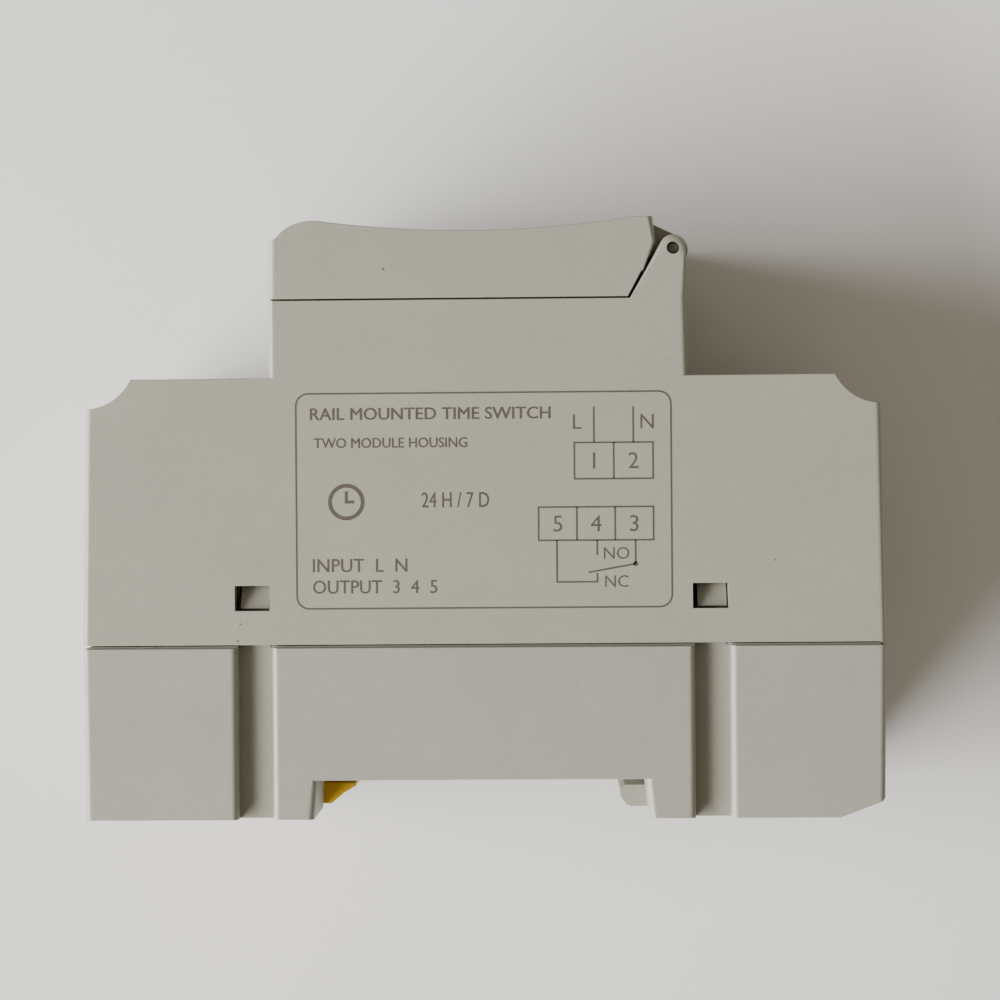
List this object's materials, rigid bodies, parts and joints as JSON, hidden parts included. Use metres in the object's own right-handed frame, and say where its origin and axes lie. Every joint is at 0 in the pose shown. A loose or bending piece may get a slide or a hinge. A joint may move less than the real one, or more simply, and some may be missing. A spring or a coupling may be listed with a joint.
{
  "type": "din rail timer",
  "caption": "Two-module weekly timer for a 35 mm rail, lying on its side: hinged front lid, push buttons and display under it, screw cage terminals and a sprung rail clip.",
  "frame": {"origin": "centre of the footprint on the surface it lies on, which is one side face", "axes": "+X along its length towards the lid's hinge, +Y from the rail towards the front, +Z from the lower side face to the upper one"},
  "size_m": [0.086, 0.0644, 0.036],
  "materials": {
    "housing_plastic": "fine moulded texture, light warm grey",
    "base_plastic": "fine moulded texture, light grey",
    "panel_plastic": "fine moulded texture, light grey",
    "clear_plastic": "clear, glossy, lightly smoked",
    "clip_plastic": "satin moulded yellow",
    "spring_steel": "drawn wire",
    "plated_steel": "bright zinc plating",
    "copper_alloy": "stamped copper alloy, semi-bright",
    "pin_brass": "drawn pins",
    "button_plastic": "satin mid grey",
    "mat_rubber": "matt silicone",
    "display_glass": "grey-green liquid crystal glass",
    "board_laminate": "green solder mask",
    "black_plastic": "satin black",
    "led_plastic": "tinted clear red",
    "capacitor_film": "ochre epoxy",
    "varistor_coat": "blue epoxy dip"
  },
  "bodies": {
    "housing": {"upper_housing": "housing_plastic", "base_housing": "base_plastic", "front_panel": "panel_plastic", "relay_cover": "clear_plastic", "clip_spring": "spring_steel", "hinge_pin": "plated_steel", "board_screw_1": "plated_steel", "board_screw_2": "plated_steel", "board_screw_3": "plated_steel", "board_screw_4": "plated_steel", "quartz_crystal": "plated_steel", "battery": "plated_steel", "relay_core": "plated_steel", "relay_yoke": "plated_steel", "terminal_bar_1": "copper_alloy", "terminal_bar_2": "copper_alloy", "terminal_bar_3": "copper_alloy", "terminal_bar_4": "copper_alloy", "terminal_bar_5": "copper_alloy", "relay_coil": "copper_alloy", "relay_contact_nc": "copper_alloy", "relay_contact_no": "copper_alloy", "board_link": "pin_brass", "keypad_mat": "mat_rubber", "lcd_connector": "mat_rubber", "lcd_glass": "display_glass", "display_board": "board_laminate", "power_board": "board_laminate", "lcd_bezel": "black_plastic", "microcontroller": "black_plastic", "smoothing_capacitor": "black_plastic", "rectifier": "black_plastic", "relay_base": "black_plastic", "relay_bobbin": "black_plastic", "status_led": "led_plastic", "dropper_capacitor": "capacitor_film", "fuse_resistor": "capacitor_film", "varistor": "varistor_coat"},
    "lid": {"lid_frame": "housing_plastic", "lid_window": "clear_plastic"},
    "rail_clip": {"rail_clip": "clip_plastic"},
    "relay_rocker": {"relay_armature": "plated_steel", "relay_contact_arm": "copper_alloy"},
    "screw_1": {"terminal_screw_1": "plated_steel"},
    "cage_1": {"terminal_cage_1": "plated_steel"},
    "screw_2": {"terminal_screw_2": "plated_steel"},
    "cage_2": {"terminal_cage_2": "plated_steel"},
    "screw_3": {"terminal_screw_3": "plated_steel"},
    "cage_3": {"terminal_cage_3": "plated_steel"},
    "screw_4": {"terminal_screw_4": "plated_steel"},
    "cage_4": {"terminal_cage_4": "plated_steel"},
    "screw_5": {"terminal_screw_5": "plated_steel"},
    "cage_5": {"terminal_cage_5": "plated_steel"},
    "button_program": {"button_program": "button_plastic"},
    "button_clock": {"button_clock": "button_plastic"},
    "button_manual": {"button_manual": "button_plastic"},
    "button_clear": {"button_clear": "button_plastic"},
    "button_day": {"button_day": "button_plastic"},
    "button_hour": {"button_hour": "button_plastic"},
    "button_minute": {"button_minute": "button_plastic"}
  },
  "joints": [
    {"name": "lid_hinge", "type": "hinge", "parent": "housing", "child": "lid", "pos_m": [0.02056, 0.02875, 0.018], "axis": [0, 0, -1], "range_deg": [0, 110]},
    {"name": "rail_clip_slide", "type": "slide", "parent": "housing", "child": "rail_clip", "axis": [-1, 0, 0], "range_m": [0, 0.0035], "stiffness_N_per_m": 1500, "springref_m": -0.001, "deforming": ["clip_spring"]},
    {"name": "relay_armature_hinge", "type": "hinge", "parent": "housing", "child": "relay_rocker", "pos_m": [0.0119, -0.00515, 0.018], "axis": [0, 0, -1], "range_deg": [0, 5], "stiffness_Nm_per_rad": 0.02, "springref_deg": -2.86},
    {"name": "screw_1_turn", "type": "hinge", "parent": "housing", "child": "screw_1", "pos_m": [0.033, 0.00785, 0.018], "axis": [0, -1, 0], "range_deg": [0, 2057.2]},
    {"name": "cage_1_lift", "type": "slide", "parent": "housing", "child": "cage_1", "axis": [0, 1, 0], "range_m": [0, 0.004]},
    {"name": "screw_2_turn", "type": "hinge", "parent": "housing", "child": "screw_2", "pos_m": [0.033, 0.00785, 0.0293], "axis": [0, -1, 0], "range_deg": [0, 2057.2]},
    {"name": "cage_2_lift", "type": "slide", "parent": "housing", "child": "cage_2", "axis": [0, 1, 0], "range_m": [0, 0.004]},
    {"name": "screw_3_turn", "type": "hinge", "parent": "housing", "child": "screw_3", "pos_m": [-0.033, 0.00785, 0.0293], "axis": [0, -1, 0], "range_deg": [0, 2057.2]},
    {"name": "cage_3_lift", "type": "slide", "parent": "housing", "child": "cage_3", "axis": [0, 1, 0], "range_m": [0, 0.004]},
    {"name": "screw_4_turn", "type": "hinge", "parent": "housing", "child": "screw_4", "pos_m": [-0.033, 0.00785, 0.018], "axis": [0, -1, 0], "range_deg": [0, 2057.2]},
    {"name": "cage_4_lift", "type": "slide", "parent": "housing", "child": "cage_4", "axis": [0, 1, 0], "range_m": [0, 0.004]},
    {"name": "screw_5_turn", "type": "hinge", "parent": "housing", "child": "screw_5", "pos_m": [-0.033, 0.00785, 0.0067], "axis": [0, -1, 0], "range_deg": [0, 2057.2]},
    {"name": "cage_5_lift", "type": "slide", "parent": "housing", "child": "cage_5", "axis": [0, 1, 0], "range_m": [0, 0.004]},
    {"name": "button_program_press", "type": "slide", "parent": "housing", "child": "button_program", "axis": [0, -1, 0], "range_m": [0, 0.0009], "stiffness_N_per_m": 600, "springref_m": -0.0005},
    {"name": "button_clock_press", "type": "slide", "parent": "housing", "child": "button_clock", "axis": [0, -1, 0], "range_m": [0, 0.0009], "stiffness_N_per_m": 600, "springref_m": -0.0005},
    {"name": "button_manual_press", "type": "slide", "parent": "housing", "child": "button_manual", "axis": [0, -1, 0], "range_m": [0, 0.0009], "stiffness_N_per_m": 600, "springref_m": -0.0005},
    {"name": "button_clear_press", "type": "slide", "parent": "housing", "child": "button_clear", "axis": [0, -1, 0], "range_m": [0, 0.0009], "stiffness_N_per_m": 600, "springref_m": -0.0005},
    {"name": "button_day_press", "type": "slide", "parent": "housing", "child": "button_day", "axis": [0, -1, 0], "range_m": [0, 0.0009], "stiffness_N_per_m": 600, "springref_m": -0.0005},
    {"name": "button_hour_press", "type": "slide", "parent": "housing", "child": "button_hour", "axis": [0, -1, 0], "range_m": [0, 0.0009], "stiffness_N_per_m": 600, "springref_m": -0.0005},
    {"name": "button_minute_press", "type": "slide", "parent": "housing", "child": "button_minute", "axis": [0, -1, 0], "range_m": [0, 0.0009], "stiffness_N_per_m": 600, "springref_m": -0.0005}
  ],
  "couplings": [
    {"joint": "screw_1_turn", "follows": "cage_1_lift", "rad_per_m": 8976},
    {"joint": "screw_2_turn", "follows": "cage_2_lift", "rad_per_m": 8976},
    {"joint": "screw_3_turn", "follows": "cage_3_lift", "rad_per_m": 8976},
    {"joint": "screw_4_turn", "follows": "cage_4_lift", "rad_per_m": 8976},
    {"joint": "screw_5_turn", "follows": "cage_5_lift", "rad_per_m": 8976}
  ]
}
